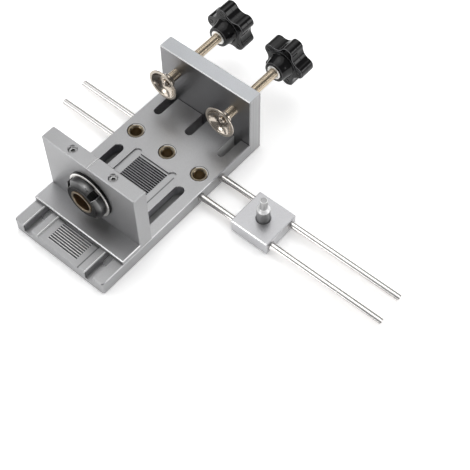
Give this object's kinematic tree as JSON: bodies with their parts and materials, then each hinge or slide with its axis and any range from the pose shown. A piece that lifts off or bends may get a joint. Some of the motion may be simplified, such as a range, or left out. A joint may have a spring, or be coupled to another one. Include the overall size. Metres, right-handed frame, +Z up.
{
  "type": "self centering doweling jig",
  "caption": "Flat drilling jig with dowel bushes, a sliding jaw with a large cam bush, screw pads on a rear plate, and guide rods with a stop block.",
  "frame": {"origin": "centre of the footprint of base and rear plate, on the underside", "axes": "+X along the guide rods towards the stop block, +Y from the front edge to the rear plate, +Z up"},
  "size_m": [0.3083, 0.2309, 0.0697],
  "materials": {
    "bare_aluminium": "satin, bead blasted",
    "block_aluminium": "satin",
    "bright_steel": "polished",
    "nickel_steel": "nickel plated",
    "black_steel": "black oxide",
    "bush_steel": "tempered brown",
    "black_plastic": "glossy"
  },
  "bodies": {
    "frame": {"base_plate": "bare_aluminium", "rear_plate": "bare_aluminium", "rear_plate_screws": "black_steel", "rear_plate_dowels": "bright_steel", "dowel_bush_left": "bush_steel", "dowel_bush_centre": "bush_steel", "dowel_bush_right": "bush_steel", "rod_lock_screws": "black_steel"},
    "jaw": {"front_jaw": "bare_aluminium", "bush_carrier": "black_steel", "collar_washer": "black_steel", "bright_ring": "bright_steel", "ring_nut": "black_steel", "cam_bush": "bush_steel", "jaw_bolt_left": "black_steel", "jaw_bolt_right": "black_steel", "jaw_washer_left": "black_steel", "jaw_washer_right": "black_steel"},
    "key": {"index_key": "black_steel"},
    "index_left": {"index_screw_left": "black_steel"},
    "index_right": {"index_screw_right": "black_steel"},
    "rods": {"guide_rod_front": "bright_steel", "guide_rod_rear": "bright_steel"},
    "block": {"stop_block": "block_aluminium", "block_screws": "black_steel"},
    "pin": {"locating_pin": "bright_steel"},
    "pad_left": {"pressure_pad_left": "nickel_steel"},
    "pad_right": {"pressure_pad_right": "nickel_steel"},
    "screw_left": {"clamp_screw_left": "nickel_steel", "pad_screw_left": "nickel_steel", "knob_insert_left": "nickel_steel", "clamp_knob_left": "black_plastic"},
    "screw_right": {"clamp_screw_right": "nickel_steel", "pad_screw_right": "nickel_steel", "knob_insert_right": "nickel_steel", "clamp_knob_right": "black_plastic"}
  },
  "joints": [
    {"name": "jaw_slide", "type": "slide", "parent": "frame", "child": "jaw", "axis": [0, 1, 0], "range_m": [-0.022, 0.046]},
    {"name": "index_drop", "type": "slide", "parent": "jaw", "child": "key", "axis": [0, 0, -1], "range_m": [0, 0.0007]},
    {"name": "index_turn_left", "type": "hinge", "parent": "jaw", "child": "index_left", "pos_m": [-0.0192, -0.04095, 0.06], "axis": [0, 0, -1], "range_deg": [0, 360]},
    {"name": "index_turn_right", "type": "hinge", "parent": "jaw", "child": "index_right", "pos_m": [0.0192, -0.04095, 0.06], "axis": [0, 0, -1], "range_deg": [0, 360]},
    {"name": "rod_slide", "type": "slide", "parent": "frame", "child": "rods", "axis": [1, 0, 0], "range_m": [0, 0.052]},
    {"name": "block_slide", "type": "slide", "parent": "rods", "child": "block", "axis": [1, 0, 0], "range_m": [-0.032, 0.092]},
    {"name": "pin_lift", "type": "slide", "parent": "block", "child": "pin", "axis": [0, 0, 1], "range_m": [0, 0.012]},
    {"name": "pad_feed_left", "type": "slide", "parent": "frame", "child": "pad_left", "axis": [0, -1, 0], "range_m": [-0.008, 0.033]},
    {"name": "knob_turn_left", "type": "hinge", "parent": "pad_left", "child": "screw_left", "pos_m": [-0.0279, 0.08625, 0.0421], "axis": [0, -1, 0], "range_deg": [-2304, 9504]},
    {"name": "pad_feed_right", "type": "slide", "parent": "frame", "child": "pad_right", "axis": [0, -1, 0], "range_m": [-0.008, 0.033]},
    {"name": "knob_turn_right", "type": "hinge", "parent": "pad_right", "child": "screw_right", "pos_m": [0.0279, 0.08625, 0.0421], "axis": [0, -1, 0], "range_deg": [-2304, 9504]}
  ],
  "couplings": [
    {"joint": "index_turn_left", "follows": "index_drop", "rad_per_m": 8975.9},
    {"joint": "index_turn_right", "follows": "index_drop", "rad_per_m": 8975.9},
    {"joint": "pad_feed_left", "follows": "knob_turn_left", "m_per_rad": 0.00019894},
    {"joint": "pad_feed_right", "follows": "knob_turn_right", "m_per_rad": 0.00019894}
  ]
}
